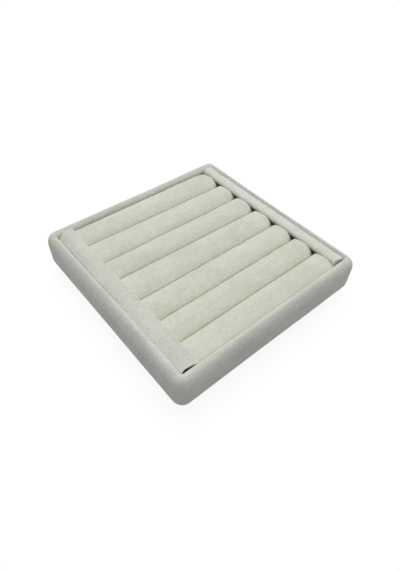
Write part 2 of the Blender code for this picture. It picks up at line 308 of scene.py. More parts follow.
@dataclass(frozen=True)
class Warmth:
    """The warm light that velvet gets low in a groove from the velvet across it."""

    strength: float
    below: float = 32.0 * MM
    fade: float = 2.5 * MM
    colour: Triple = (0.68, 0.69, 0.41)

    def share(self, bench: NodeBench) -> Term:
        """Return how warm a point is, from 0 on the open velvet to the full strength low in a groove."""
        return bench.axes()[2].ramp(self.below, self.below - self.fade) * self.strength


@dataclass(frozen=True)
class BackWarmth(Warmth):
    """The warm light on the wall, which only the inside of the back rim gets."""

    start: Pair = (68.0 * MM, 74.0 * MM)
    end: Pair = (79.0 * MM, 77.0 * MM)

    def share(self, bench: NodeBench) -> Term:
        """Return how warm a point is, which is 0 away from the back rim."""
        y = bench.axes()[1]
        return super().share(bench) * y.ramp(*self.end) * y.ramp(*self.start)


@dataclass(frozen=True)
class CrestShade:
    """The painted shade along the crest of the back rim, where the pile leans out of the light."""

    amount: float
    back: Pair = (77.0 * MM, 79.0 * MM)
    top: Pair = (32.0 * MM, 33.2 * MM)

    def share(self, bench: NodeBench) -> Term:
        """Return how much painted shade a point gets, which is 0 away from the crest."""
        _, y, z = bench.axes()
        return y.ramp(*self.back) * z.ramp(*self.top) * self.amount


@dataclass(frozen=True)
class Velvet:
    """Short-pile velvet: brushed patches, streaks where the pile leans, fine mottling and the pile's own grain."""

    light: Triple = (0.785, 0.800, 0.716)
    shade: Triple = (0.590, 0.605, 0.515)
    lint: Triple = (0.860, 0.870, 0.820)
    # painted shade: the colour the velvet takes low in the gaps, where little light comes
    gap_shade: Triple = (0.075, 0.072, 0.048)
    # tone of the velvet; on the end strips it also carries painted light, lighter on the right strip and darker on the
    # left
    tone_and_painted_light: float = 1.0
    grain: float = 1.0
    roughness: float = 0.96
    specular: float = 0.15
    sheen: float = 0.22
    sheen_roughness: float = 0.55
    patches: Layer = Layer(26 * MM, 2.0, 0.6, 0.8)
    streaks: Layer = Layer(9 * MM, 3.0, 0.8, 0.7)
    tufts: Layer = Layer(3.6 * MM, 2.0, 0.4, 0.5)
    mottle: Layer = Layer(1.3 * MM, 3.0, 0.0, 1.0)
    pile: Layer = Layer(0.6 * MM, 2.0, 0.0, 1.1)
    seed_steps: Triple = (0.137, 0.271, 0.193)
    streak_stretch: float = 0.28
    streak_turn: float = math.radians(24)
    mottle_depth: float = 0.50 * MM
    mottle_strength: float = 0.85
    pile_depth: float = 0.16 * MM
    pile_strength: float = 0.7
    lint_cell: float = 9 * MM
    lint_radius: float = 0.035
    lint_share: float = 0.5
    dimness: Dimness = Dimness()
    warmth: Warmth | None = None
    crest: CrestShade | None = None

    def material(self, name: str, axis: Axis, seed: float) -> bpy.types.Material:
        """Make the velvet of one piece.

        Args:
            name: The material's name.
            axis: The axis along which the pile is brushed.
            seed: A number that moves the pattern, so that no two pieces have the same.

        Returns:
            The material.
        """
        bench = NodeBench(bpy.data.materials.new(name))
        moved = tuple(seed * step for step in self.seed_steps)
        along = [1.0, 1.0, 1.0]
        along[axis.value] = self.streak_stretch
        plain = bench.place(moved)
        brushed = bench.place(moved, tuple(along), (0.0, 0.0, self.streak_turn))
        patches, tufts, mottle, pile = (
            layer.noise(bench, plain) for layer in (self.patches, self.tufts, self.mottle, self.pile)
        )
        broad = self.patches.swing(patches) + self.streaks.swing(self.streaks.noise(bench, brushed))
        fine = self.tufts.swing(tufts) + self.mottle.swing(mottle) + self.pile.swing(pile)
        lean = broad + fine * self.grain + 0.5
        # painted shade along the back rim's crest
        if self.crest is not None:
            lean = lean - self.crest.share(bench)
        # the tone also carries painted light on the end strips
        shade, light = (tuple(part * self.tone_and_painted_light for part in colour) for colour in (self.shade, self.light))
        cloth = bench.mix(shade, light, lean.clipped())
        if self.warmth is not None:
            cloth = bench.mix(cloth, self.warmth.colour, self.warmth.share(bench))
        # painted shade low in the gaps between the pieces
        cloth = bench.mix(cloth, self.gap_shade, self.dimness.share(bench))
        lint = bench.flecks(plain, self.lint_cell, self.lint_radius)
        soft = bench.bump(mottle, self.mottle_depth, self.mottle_strength)
        return bench.finish(
            {
                "Base Color": bench.mix(cloth, self.lint, lint * self.lint_share),
                "Roughness": self.roughness,
                "Specular IOR Level": self.specular,
                "Sheen Weight": self.sheen,
                "Sheen Roughness": self.sheen_roughness,
                "Sheen Tint": (*self.light, 1.0),
                "Normal": bench.bump(pile, self.pile_depth, self.pile_strength, soft),
            }
        )


@dataclass(frozen=True)
class Felt:
    """Thin stiff felt: short tangled fibres pressed flat."""

    light: Triple = (0.590, 0.600, 0.545)
    shade: Triple = (0.480, 0.490, 0.440)
    tangle: Layer = Layer(1.1 * MM, 4.0, 1.6, 0.6)
    fibres: Layer = Layer(0.3 * MM, 3.0, 2.2, 0.5)
    clouds: Layer = Layer(30 * MM, 2.0, 0.0, 0.4)
    darkening: float = 0.05
    roughness: float = 0.94
    specular: float = 0.2
    sheen: float = 0.1
    fibre_depth: float = 0.15 * MM
    fibre_strength: float = 0.5

    def material(self, name: str) -> bpy.types.Material:
        """Make the felt, under the given name."""
        bench = NodeBench(bpy.data.materials.new(name))
        plain = bench.place()
        tangle = self.tangle.noise(bench, plain)
        fibres = self.fibres.noise(bench, plain)
        share = tangle * self.tangle.weight + fibres * self.fibres.weight
        share = share + self.clouds.swing(self.clouds.noise(bench, plain)) - self.darkening
        return bench.finish(
            {
                "Base Color": bench.mix(self.shade, self.light, share.clipped()),
                "Roughness": self.roughness,
                "Specular IOR Level": self.specular,
                "Sheen Weight": self.sheen,
                "Normal": bench.bump((tangle + fibres) * 0.5, self.fibre_depth, self.fibre_strength),
            }
        )


@dataclass(frozen=True)
class PressedBoard:
    """Fibreboard or grey card: pressed fibres with darker chips."""

    light: Triple
    shade: Triple
    chip: Triple
    roughness: float
    chip_cell: float
    chip_radius: float = 0.32
    chip_share: float = 0.6
    fibres: Layer = Layer(0.8 * MM, 4.0, 1.2, 0.7)
    clouds: Layer = Layer(18 * MM, 3.0, 0.0, 0.5)
    darkening: float = 0.1
    unevenness: float = 0.2
    fibre_depth: float = 0.12 * MM
    fibre_strength: float = 0.4

    def material(self, name: str) -> bpy.types.Material:
        """Make the board's material, under the given name."""
        bench = NodeBench(bpy.data.materials.new(name))
        plain = bench.place()
        clouds = self.clouds.noise(bench, plain)
        fibres = self.fibres.noise(bench, plain)
        chips = bench.flecks(plain, self.chip_cell, self.chip_radius)
        share = fibres * self.fibres.weight + clouds * self.clouds.weight - self.darkening
        body = bench.mix(self.shade, self.light, share.clipped())
        return bench.finish(
            {
                "Base Color": bench.mix(body, self.chip, chips * self.chip_share),
                "Roughness": (self.roughness + (fibres - 0.5) * self.unevenness).clipped(),
                "Normal": bench.bump(fibres, self.fibre_depth, self.fibre_strength),
            }
        )


def choose(piece: bpy.types.Object) -> None:
    """Make a piece the active one and the only one selected."""
    bpy.ops.object.select_all(action="DESELECT")
    bpy.context.view_layer.objects.active = piece
    piece.select_set(True)


def add_object(name: str, data: bpy.types.ID) -> bpy.types.Object:
    """Add an object with the given data to the scene."""
    made = bpy.data.objects.new(name, data)
    bpy.context.scene.collection.objects.link(made)
    return made


@contextmanager
def edited(piece: bpy.types.Object) -> Iterator[None]:
    """Open a piece in edit mode with nothing selected, and close it at the end."""
    choose(piece)
    bpy.ops.object.mode_set(mode="EDIT")
    bpy.ops.mesh.select_mode(type="VERT")
    bpy.ops.mesh.select_all(action="DESELECT")
    yield
    bpy.ops.object.mode_set(mode="OBJECT")
    piece.select_set(False)


def select(piece: bpy.types.Object, part: Part, wanted: Callable[..., bool]) -> None:
    """Select the wanted points or edges of a piece in edit mode, and what lies between them."""
    bpy.ops.mesh.select_mode(type=part.value)
    bm = bmesh.from_edit_mesh(piece.data)
    for each in bm.verts if part is Part.POINT else bm.edges:
        each.select = wanted(each)
    bm.select_flush_mode()
    bmesh.update_edit_mesh(piece.data)


def select_edges(piece: bpy.types.Object, wanted: Callable[[Vector, Vector], bool]) -> None:
    """Select the edges of a piece in edit mode whose two ends are wanted."""
    select(piece, Part.EDGE, lambda edge: wanted(edge.verts[0].co, edge.verts[1].co))


def new_plane(name: str, side: float, height: float) -> bpy.types.Object:
    """Start a piece as a level square at the given height, with its place in its mesh."""
    bpy.ops.object.select_all(action="DESELECT")
    bpy.ops.mesh.primitive_plane_add(size=side, location=(0.0, 0.0, height))
    piece = bpy.context.active_object
    piece.name = name
    bpy.ops.object.transform_apply(location=True, rotation=False, scale=False)
    return piece


def round_corners(piece: bpy.types.Object, radius: float, segments: int) -> None:
    """Round the corners of a flat piece in edit mode, and leave all of it selected."""
    select(piece, Part.POINT, lambda point: True)
    bpy.ops.mesh.bevel(offset=radius, segments=segments, affect="VERTICES")
    bpy.ops.mesh.select_all(action="SELECT")


def apply_modifier(piece: bpy.types.Object, modifier: bpy.types.Modifier) -> None:
    """Apply a modifier to its piece."""
    choose(piece)
    bpy.ops.object.modifier_apply(modifier=modifier.name)


def subdivide_surface(piece: bpy.types.Object) -> None:
    """Subdivide a piece's surface smoothly, once."""
    smoother = piece.modifiers.new("Smoother", "SUBSURF")
    smoother.levels = 1
    smoother.render_levels = 1
    apply_modifier(piece, smoother)


def outward_and_smooth(piece: bpy.types.Object, sharp: float = math.radians(60.0)) -> None:
    """Merge doubles, point all faces outwards and shade the piece smooth up to the sharp angle."""
    with edited(piece):
        bpy.ops.mesh.select_all(action="SELECT")
        bpy.ops.mesh.remove_doubles(threshold=SAME / 2)
        bpy.ops.mesh.normals_make_consistent(inside=False)
    choose(piece)
    bpy.ops.object.shade_smooth_by_angle(angle=sharp)
    piece.select_set(False)


def report(piece: bpy.types.Object) -> None:
    """Log how many faces a finished piece has."""
    log.info("%s: %d faces", piece.name, len(piece.data.polygons))


def points_of(piece: bpy.types.Object) -> np.ndarray:
    """Return the places of a piece's points, one row each."""
    flat = np.empty(len(piece.data.vertices) * 3)
    piece.data.vertices.foreach_get("co", flat)
    return flat.reshape(-1, 3)


def put_points(piece: bpy.types.Object, places: np.ndarray) -> None:
    """Give a piece's points new places, one row each."""
    piece.data.vertices.foreach_set("co", places.ravel())
    piece.data.update()


def ramp(values: np.ndarray, start: float, end: float) -> np.ndarray:
    """Return 0 before the start, 1 past the end, and an even change between them."""
    return np.clip((values - start) / (end - start), 0.0, 1.0)


def eased(share: np.ndarray | float) -> np.ndarray | float:
    """Return a share from 0 to 1 that starts and ends gently."""
    return share * share * (3.0 - 2.0 * share)


def ripple(places: np.ndarray, wavelength: float, seed: float) -> np.ndarray:
    """Return a soft noise from about -1 to 1 at each place, which the seed moves."""
    shift = Vector([seed * step for step in SEED_STEPS])
    return np.array([noise.noise(Vector(place) / wavelength + shift) for place in places])


def quarter_turn(steps: int) -> list[float]:
    """Return the angles of a quarter turn in even steps, in radians."""
    return [math.radians(90.0 * step / steps) for step in range(steps + 1)]


@dataclass(frozen=True)
class Inflation:
    """How a padded piece swells inside its fabric."""

    pressure: float
    cap: float
    frames: int = 20
    stiffness: float = 15.0

    def apply(self, piece: bpy.types.Object, held: str) -> None:
        """Swell a piece by cloth simulation under inner pressure, with each point's way capped.

        Args:
            piece: The piece.
            held: The name of the vertex group that holds points in place.
        """
        rest = points_of(piece)
        cloth = piece.modifiers.new("Fabric", "CLOTH")
        cloth.settings.use_pressure = True
        cloth.settings.uniform_pressure_force = self.pressure
        cloth.settings.tension_stiffness = self.stiffness
        cloth.settings.compression_stiffness = self.stiffness
        cloth.settings.effector_weights.gravity = 0.0
        cloth.collision_settings.use_collision = False
        cloth.collision_settings.use_self_collision = False
        cloth.settings.vertex_group_mass = held
        scene = bpy.context.scene
        for step in range(1, self.frames + 1):
            scene.frame_set(step)
        apply_modifier(piece, cloth)
        scene.frame_set(1)
        moved = points_of(piece) - rest
        way = np.linalg.norm(moved, axis=1, keepdims=True)
        put_points(piece, rest + moved * np.minimum(1.0, self.cap / np.maximum(way, TINY)))
        log.info("%s: %d points, swelled by %.2f mm", piece.name, len(rest), way.mean() / MM)


@dataclass
class PaddedBar:
    """A foam bar wrapped in velvet, such as a ring roll or an end strip: rounded on top and at both ends."""

    axis: Axis
    low_round: float
    high_round: float
    low_end_round: float
    high_end_round: float
    flatness: float = 1.0
    start_smaller: float = 0.30 * MM
    fullest_share: float = 0.995
    side_share: float = 0.9
    edge_segments: int = 10
    end_segments: int = 4
    stretch: float = 2.0 * MM
    held_past: float = 0.05 * MM
    swelling: Inflation = Inflation(pressure=1.5, cap=0.6 * MM)

    def blank(self, name: str, low: Vector, high: Vector) -> bpy.types.Object:
        """Shape the bar from a block by rounding its edges, with its top a little lower than the room it has.

        Args:
            name: The piece's name.
            low: The lowest corner of its room.
            high: The highest corner of its room.

        Returns:
            The shaped piece.
        """
        high = high - Vector((0.0, 0.0, self.start_smaller))
        middle = (low + high) / 2
        bpy.ops.object.select_all(action="DESELECT")
        bpy.ops.mesh.primitive_cube_add(size=1.0, location=middle)
        piece = bpy.context.active_object
        piece.name = name
        piece.scale = high - low
        bpy.ops.object.transform_apply(location=True, rotation=False, scale=True)
        across = 1 - self.axis.value
        half = (high - low)[across] / 2
        for side, radius in ((-1, self.low_round), (1, self.high_round)):
            with edited(piece):
                select_edges(
                    piece,
                    lambda a, b: min(a.z, b.z) > high.z - SAME
                    and abs(a[across] - b[across]) < SAME
                    and (a[across] - middle[across]) * side > half * self.side_share,
                )
                bpy.ops.mesh.bevel(offset=min(radius, half * self.fullest_share), segments=self.edge_segments)
        self.flatten(piece, high.z)
        self.round_ends(piece, low, high)
        with edited(piece):
            length = (high - low)[self.axis.value]
            select_edges(piece, lambda a, b: (a - b).length > length / 2)
            bpy.ops.mesh.subdivide(number_cuts=round(length / self.stretch))
        outward_and_smooth(piece)
        return piece

    def flatten(self, piece: bpy.types.Object, top: float) -> None:
        """Press the round crown below the given top to its oval."""
        start = top - max(self.low_round, self.high_round) - SAME
        with edited(piece):
            select(piece, Part.POINT, lambda point: point.co.z > start)
            bpy.ops.transform.resize(value=(1.0, 1.0, self.flatness), center_override=(0.0, 0.0, top))

    def round_ends(self, piece: bpy.types.Object, low: Vector, high: Vector) -> None:
        """Round the edges at both ends of the bar, but for the lower ones."""
        length = self.axis.value
        for end, radius in ((low[length], self.low_end_round), (high[length], self.high_end_round)):
            with edited(piece):
                select_edges(
                    piece,
                    lambda a, b: abs(a[length] - end) + abs(b[length] - end) < SAME and max(a.z, b.z) > low.z + SAME,
                )
                bpy.ops.mesh.bevel(offset=radius, segments=self.end_segments)

    def fill(self, piece: bpy.types.Object, low: Vector, high: Vector) -> None:
        """Swell the bar's crown by simulation, with its sides held, and fit it to its room."""
        crown = max(self.low_round, self.high_round) * self.flatness
        held = piece.vertex_groups.new(name="held")
        below = np.flatnonzero(points_of(piece)[:, 2] < high.z - self.start_smaller - crown + self.held_past)
        held.add(below.tolist(), 1.0, "REPLACE")
        self.swelling.apply(piece, "held")
        places = points_of(piece)
        least, most = places.min(axis=0), places.max(axis=0)
        share = (places - least) / (most - least)
        put_points(piece, np.array(low) + share * np.array(high - low))
        subdivide_surface(piece)


@dataclass
class RingRolls:
    """The seven ring rolls, side by side."""

    count: int = 7
    crown_drop: float = 3.6 * MM
    left_end_round: float = 0.15 * MM
    right_end_round: float = 1.6 * MM
    left_reach: float = 0.27 * MM
    right_reach: float = 0.75 * MM
    front_reach: float = -0.50 * MM
    back_reach: float = -1.80 * MM
    front_lift: float = 1.3 * MM
    back_lift: float = 2.0 * MM
    corner_pull: float = 0.8 * MM
    corner_drop: float = 4.3 * MM
    corner_width: float = 9.5 * MM
    corner_length: float = 11.0 * MM
    corner_power: float = 1.5
    wall_corner_share: float = 0.5
    slit: float = 0.06 * MM
    slit_drift: tuple[Pair, ...] = (
        (-1.6 * MM, -2.0 * MM),
        (-2.0 * MM, -2.8 * MM),
        (-1.8 * MM, -3.4 * MM),
        (0.9 * MM, -2.9 * MM),
        (-0.8 * MM, -2.9 * MM),
        (0.2 * MM, -2.7 * MM),
    )
    slit_sway: float = 0.22 * MM
    slit_wave: float = 34.0 * MM
    crown_sway: float = 0.18 * MM
    crown_wave: float = 27.0 * MM
    crown_width: float = 12.0 * MM
    crown_low: float = 0.6
    crown_seed: float = 20.0
    velvet: Velvet = Velvet(
        tone_and_painted_light=0.99,
        grain=1.25,
        dimness=Dimness(below=27.3 * MM, fade=3.4 * MM, corner_rise=3.2 * MM),
        warmth=Warmth(strength=0.25),
    )

    def room(self, number: int) -> tuple[Vector, Vector]:
        """Return the lowest and the highest corner of a roll's room, with next to no gap to what it touches."""
        low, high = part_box(f"roll_cover_{number}")
        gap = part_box("roll_cover_2")[0].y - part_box("roll_cover_1")[1].y
        spare = (gap - self.slit) / 2
        front = self.front_reach if number == 1 else spare
        back = self.back_reach if number == self.count else spare
        return low - Vector((self.left_reach, front, 0.0)), high + Vector((self.right_reach, back, 0.0))

    def slit_path(self, slit: int, along: np.ndarray) -> np.ndarray:
        """Return how far a slit lies from its straight line at places along it.

        Args:
            slit: The slit's number from the front, or one past either end for the walls.
            along: The places along X.

        Returns:
            The way to the back at each place.
        """
        still = np.zeros(len(along))
        if not 0 < slit < self.count:
            return still
        left, right = self.slit_drift[slit - 1]
        start, end = self.room(1)[0].x, self.room(1)[1].x
        drift = left + (right - left) * (along - start) / (end - start)
        return drift + self.slit_sway * ripple(np.column_stack([along, still, still]), self.slit_wave, float(slit))

    def sway(self, piece: bpy.types.Object, number: int, low: Vector, high: Vector) -> None:
        """Let the roll's sides follow its slits, its crown rise and fall and its front right corner drop."""
        places = points_of(piece)
        share = (places[:, 1] - low.y) / (high.y - low.y)
        rise = ramp(places[:, 2], low.z, high.z)
        front = self.slit_path(number - 1, places[:, 0])
        back = self.slit_path(number, places[:, 0])
        places[:, 1] += (1 - share) * front + share * back
        surface = np.column_stack([places[:, 0], share * self.crown_width, np.zeros(len(places))])
        crown = ripple(surface, self.crown_wave, number + self.crown_seed)
        places[:, 2] += self.crown_sway * (crown - self.crown_low) * rise**3
        at_front, at_back = number == 1, number == self.count
        if at_front:
            places[:, 2] += self.front_lift * ramp(share, 0.5, 0.0) ** 2 * rise
        if at_back:
            places[:, 2] += self.back_lift * ramp(share, 0.5, 1.0) ** 2 * rise
        reach = self.corner_width / (high.y - low.y)
        near_side = ramp(share, reach, 0.0) ** self.corner_power * (self.wall_corner_share if at_front else 1.0)
        if at_back:
            near_side += ramp(share, 1.0 - reach, 1.0) ** self.corner_power * self.wall_corner_share
        near_end = ramp(places[:, 0], high.x - self.corner_length, high.x)
        places[:, 0] -= self.corner_pull * near_side * near_end
        places[:, 2] -= self.corner_drop * near_side * near_end**self.corner_power * rise
        put_points(piece, places)

    def copy_of(self, pattern: bpy.types.Object, number: int, way: Vector, stretch: float) -> bpy.types.Object:
        """Copy the first roll, mesh and all, to another roll's place.

        Args:
            pattern: The first roll before its sway.
            number: The new roll's number.
            way: The way from the first roll's lowest corner to the new one's.
            stretch: The new roll's width as a share of the first one's.

        Returns:
            The copy.
        """
        piece = pattern.copy()
        piece.data = pattern.data.copy()
        piece.name = f"ring_roll_{number}"
        bpy.context.scene.collection.objects.link(piece)
        places = points_of(piece)
        front = places[:, 1].min()
        places[:, 1] = front + (places[:, 1] - front) * stretch
        put_points(piece, places + np.array(way))
        return piece

    def build(self) -> None:
        """Build the rolls and dress them."""
        rooms = [self.room(number) for number in range(1, self.count + 1)]
        first_low, first_high = rooms[0]
        half = (first_high.y - first_low.y) / 2
        bar = PaddedBar(Axis.ALONG_ROLLS, half, half, self.left_end_round, self.right_end_round, self.crown_drop / half)
        pattern = bar.blank("ring_roll_1", first_low, first_high)
        bar.fill(pattern, first_low, first_high)
        pieces = [pattern]
        for number, (low, high) in enumerate(rooms[1:], start=2):
            pieces.append(self.copy_of(pattern, number, low - first_low, (high.y - low.y) / (2 * half)))
        for number, piece in enumerate(pieces, start=1):
            self.sway(piece, number, *rooms[number - 1])
            outward_and_smooth(piece)
            piece.data.materials.append(self.velvet.material(f"roll_velvet_{number}", Axis.ALONG_ROLLS, float(number)))
            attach(piece, "root")
            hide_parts(f"roll_cover_{number}", f"roll_core_{number}")
            report(piece)


@dataclass(frozen=True)
class Strip:
    """One end strip: its rounds, how far it reaches past its solid, how its top runs and how its front end is cut."""

    side: Side
    inner_round: float
    outer_round: float
    inner_reach: float
    lift: float
    front_fall: float
    back_fall: float
    back_rise: float
    inner_cut: float
    outer_cut: float
    hollow: float
    cut_foot: float
    velvet: Velvet


@dataclass
class EndStrips:
    """The two padded strips that close the rolls' ends."""

    strips: tuple[Strip, Strip] = (
        Strip(
            side=Side.LEFT,
            inner_round=0.15 * MM,
            outer_round=0.8 * MM,
            inner_reach=-0.03 * MM,
            lift=0.6 * MM,
            front_fall=1.8 * MM,
            back_fall=3.5 * MM,
            back_rise=1.2 * MM,
            inner_cut=-2.6 * MM,
            outer_cut=-1.2 * MM,
            hollow=1.75 * MM,
            cut_foot=0.0,
            # painted shade: this strip's velvet is toned a little darker, as less light falls on the left
            velvet=Velvet(
                # painted shade near black, low in this strip's gaps and on its cut front end
                COOL_LIGHT, COOL_SHADE, gap_shade=(0.02, 0.02, 0.018), tone_and_painted_light=0.98, grain=1.4, dimness=PaintedEndShade()
            ),
        ),
        Strip(
            side=Side.RIGHT,
            inner_round=3.2 * MM,
            outer_round=0.3 * MM,
            inner_reach=-0.50 * MM,
            lift=0.9 * MM,
            front_fall=0.4 * MM,
            back_fall=0.4 * MM,
            back_rise=0.6 * MM,
            inner_cut=1.9 * MM,
            outer_cut=0.0,
            hollow=0.0,
            cut_foot=27.5 * MM,
            velvet=Velvet(
                COOL_LIGHT,
                COOL_SHADE,
                # painted light: this strip's velvet is toned lighter, as the light comes from the right
                tone_and_painted_light=1.05,
                grain=1.4,
                dimness=Dimness(below=31.2 * MM, fade=2.2 * MM, within=72.0 * MM),
            ),
        ),
    )
    wall_reach: float = -0.40 * MM
    back_reach: float = -1.60 * MM
    end_round: float = 0.5 * MM
    edge_segments: int = 5
    end_length: float = 8.0 * MM
    fall_width: float = 7.5 * MM
    rise_length: float = 16.0 * MM
    rim_foot: float = 30.65 * MM
    rim_top: float = 33.95 * MM
    side_lean: float = 2.2 * MM
    back_lean: float = 3.4 * MM
    lean_width: float = 3.0 * MM
    right_give: float = 0.95 * MM
    give_from: float = 30.4 * MM
    give_full: float = 32.4 * MM
    longest_cross: float = 1.8 * MM
    cross_cuts: int = 3
    longest_upright: float = 5.4 * MM
    upright_cuts: int = 7
    first_seed: float = 11.0

    def room(self, strip: Strip) -> tuple[Vector, Vector]:
        """Return the lowest and the highest corner of a strip's room, against the walls beside and behind it."""
        low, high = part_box(f"end_strip_cover_{strip.side.value}")
        reaches = (self.wall_reach, strip.inner_reach)
        left, right = reaches if strip.side is Side.LEFT else reversed(reaches)
        return low - Vector((left, 0.0, 0.0)), high + Vector((right, self.back_reach, strip.lift))

    def lean(self, heights: np.ndarray) -> np.ndarray:
        """Return how far the rim lies back at each height, from 0 at its foot to 1 at its crest."""
        return 1.0 - np.sqrt(1.0 - ramp(heights, self.rim_foot, self.rim_top) ** 2)

    def cut_end(self, places: np.ndarray, strip: Strip, outward: np.ndarray, near: np.ndarray, top: float) -> None:
        """Cut the strip's front end aslant, and hollow where the strip is so.

        Args:
            places: The points' places, which are moved.
            strip: What the strip is like.
            outward: How far each point lies from the wall's side to the rolls' side, from 0 to 1.
            near: How near to the front end each point lies, up to 1.
            top: The strip's height.
        """
        cut = strip.inner_cut + (strip.outer_cut - strip.inner_cut) * outward
        cut += strip.hollow * (1.0 - (2.0 * outward - 1.0) ** 4)
        places[:, 1] += cut * near * ramp(places[:, 2], strip.cut_foot, top)

    def trim(self, piece: bpy.types.Object, strip: Strip, low: Vector, high: Vector) -> None:
        """Cut the strip's front end, let its top fall to the wall and rise to the back, and lean it on the rim."""
        with edited(piece):
            select_edges(piece, lambda a, b: abs(a.x - b.x) > self.longest_cross)
            bpy.ops.mesh.subdivide(number_cuts=self.cross_cuts)
            select_edges(piece, lambda a, b: abs(a.z - b.z) > self.longest_upright)
            bpy.ops.mesh.subdivide(number_cuts=self.upright_cuts)
        places = points_of(piece)
        outward = (high.x - places[:, 0]) / (high.x - low.x)
        if strip.side is Side.RIGHT:
            outward = 1.0 - outward
        near = ramp(places[:, 1], low.y + self.end_length, low.y)
        self.cut_end(places, strip, outward, near, high.z)
        rise = ramp(places[:, 2], low.z, high.z)
        fall = strip.front_fall + (strip.back_fall - strip.front_fall) * eased(ramp(places[:, 1], low.y, high.y))
        from_wall = (1.0 - outward) * (high.x - low.x)
        places[:, 2] -= fall * (1.0 - near) * ramp(from_wall, self.fall_width, 0.0) ** 2 * rise
        from_back = high.y - places[:, 1]
        places[:, 2] += strip.back_rise * ramp(from_back, self.rise_length, 0.0) ** 2 * rise
        lean = self.lean(places[:, 2])
        way, give = (1.0, self.right_give) if strip.side is Side.RIGHT else (-1.0, 0.0)
        sideways = self.side_lean * lean + give * ramp(places[:, 2], self.give_from, self.give_full)
        places[:, 0] += way * sideways * ramp(from_wall, self.lean_width, 0.0)
        places[:, 1] += self.back_lean * lean * ramp(from_back, self.lean_width, 0.0)
        put_points(piece, places)

    def build(self) -> None:
        """Build both strips and dress them."""
        for seed, strip in enumerate(self.strips):
            side = strip.side.value
            rounds = (strip.inner_round, strip.outer_round)
            if strip.side is Side.LEFT:
                rounds = rounds[::-1]
            bar = PaddedBar(
                Axis.ACROSS_ROLLS, *rounds, self.end_round, self.end_round, edge_segments=self.edge_segments
            )
            low, high = self.room(strip)
            piece = bar.blank(f"end_strip_{side}", low, high)
            bar.fill(piece, low, high)
            self.trim(piece, strip, low, high)
            outward_and_smooth(piece)
            velvet = strip.velvet.material(f"strip_velvet_{side}", Axis.ACROSS_ROLLS, self.first_seed + seed)
            piece.data.materials.append(velvet)
            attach(piece, "root")
            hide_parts(f"end_strip_cover_{side}", f"end_strip_core_{side}")
            report(piece)


